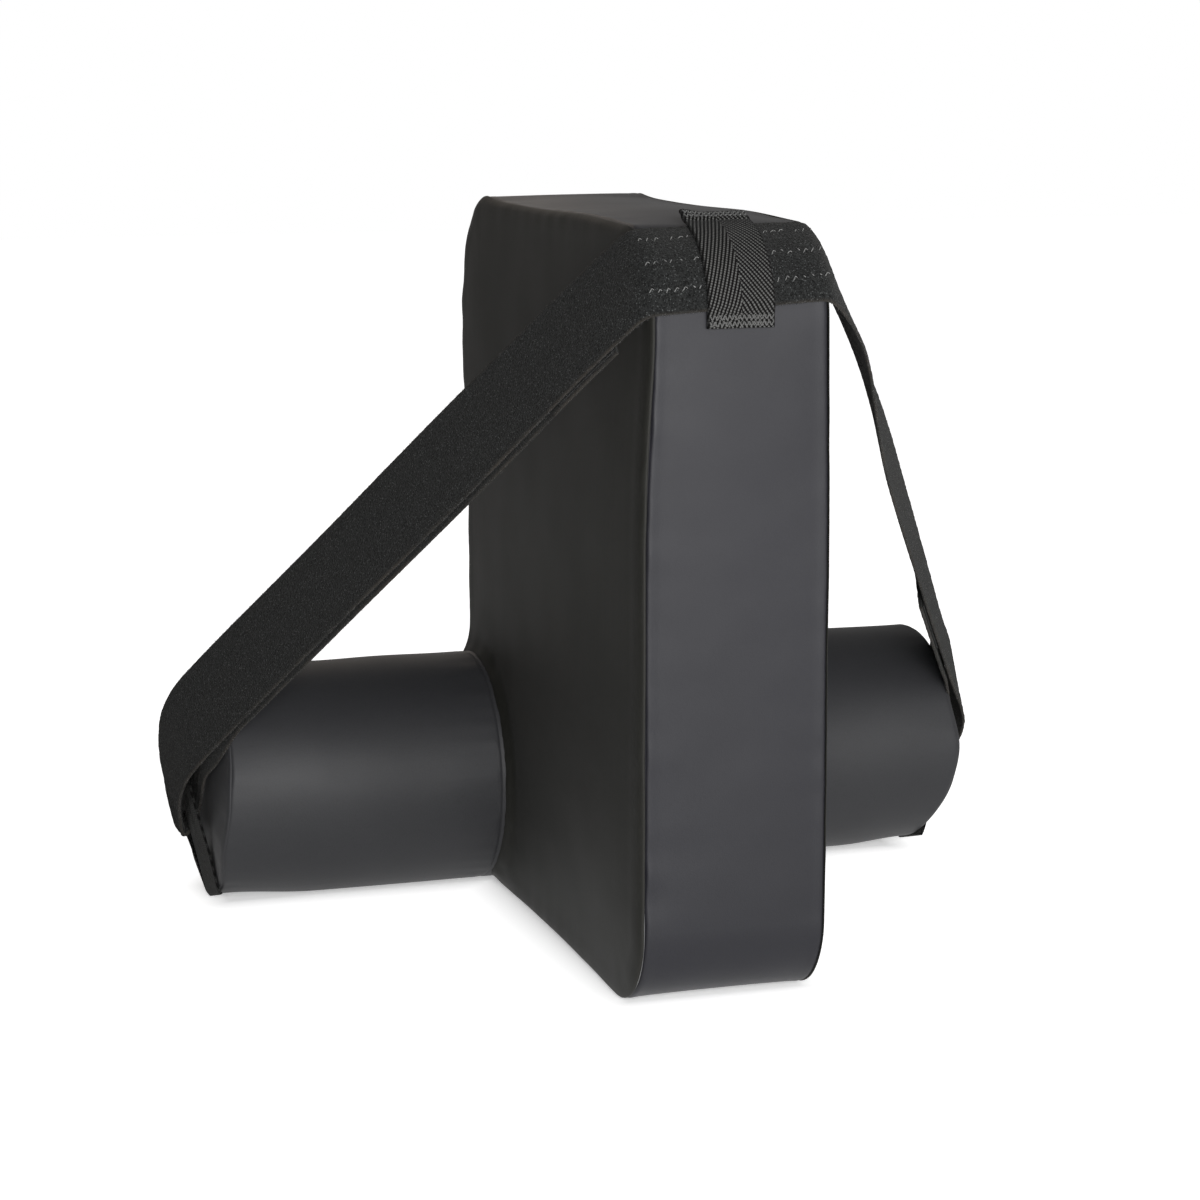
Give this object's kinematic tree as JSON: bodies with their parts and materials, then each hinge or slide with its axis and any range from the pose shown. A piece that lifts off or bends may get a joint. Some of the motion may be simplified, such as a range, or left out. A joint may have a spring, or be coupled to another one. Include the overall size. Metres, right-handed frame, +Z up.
{
  "type": "foam shield",
  "caption": "Upholstered foam block with a round roll across its lower back edge, wide loop straps from its top corner to the roll's ends, and a zip in its back face.",
  "frame": {"origin": "middle of the slab's flat base strip, on the floor", "axes": "+X along the roll's axis, to the right as seen from the slab's front edge; +Y to the back, towards the roll; +Z up"},
  "size_m": [0.5266, 0.3936, 0.4304],
  "materials": {
    "foam": "open-cell foam block",
    "side_vinyl": "matte grained vinyl",
    "gusset_vinyl": "satin grained vinyl",
    "roll_vinyl": "satin grained vinyl",
    "loop_strap": "fuzzy loop pile",
    "hook_tape": "hook tape",
    "grey_thread": "thread",
    "webbing": "herringbone weave",
    "zip_tape": "woven tape",
    "zip_coil": "satin nylon",
    "zip_metal": "black lacquer"
  },
  "bodies": {
    "shield": {"slab_foam": "foam", "roll_foam": "foam", "left_side_panel": "side_vinyl", "right_side_panel": "side_vinyl", "front_gusset": "gusset_vinyl", "top_gusset": "gusset_vinyl", "back_gusset_left": "gusset_vinyl", "back_gusset_right": "gusset_vinyl", "roll_sleeve": "roll_vinyl", "roll_left_cap": "roll_vinyl", "roll_right_cap": "roll_vinyl", "strap_centre": "loop_strap", "strap_left_leg": "loop_strap", "strap_right_leg": "loop_strap", "strap_stitches": "grey_thread", "keeper": "webbing", "keeper_stitches": "grey_thread", "left_anchor": "webbing", "right_anchor": "webbing", "zip_tapes": "zip_tape", "zip_coil": "zip_coil", "zip_stops": "zip_metal"},
    "left_peel_end": {"strap_left_end": "loop_strap", "left_hook_patch": "hook_tape"},
    "right_peel_end": {"strap_right_end": "loop_strap", "right_hook_patch": "hook_tape"},
    "zip_slide_body": {"zip_slider": "zip_metal"},
    "zip_pull_body": {"zip_pull": "zip_metal"}
  },
  "joints": [
    {"name": "left_end_peel", "type": "hinge", "parent": "shield", "child": "left_peel_end", "pos_m": [-0.08458, -0.11218, 0.34831], "axis": [0.0083, 0.6557, 0.7549], "range_deg": [0, 7]},
    {"name": "right_end_peel", "type": "hinge", "parent": "shield", "child": "right_peel_end", "pos_m": [0.22126, 0.07008, 0.1629], "axis": [-0.0902, -0.6603, -0.7456], "range_deg": [0, 45]},
    {"name": "zip_slide", "type": "slide", "parent": "shield", "child": "zip_slide_body", "axis": [0, 0, 1], "range_m": [-0.17, 0]},
    {"name": "zip_pull_flip", "type": "hinge", "parent": "zip_slide_body", "child": "zip_pull_body", "pos_m": [0, 0.1799, 0.3635], "axis": [1, 0, 0], "range_deg": [0, 165]}
  ]
}
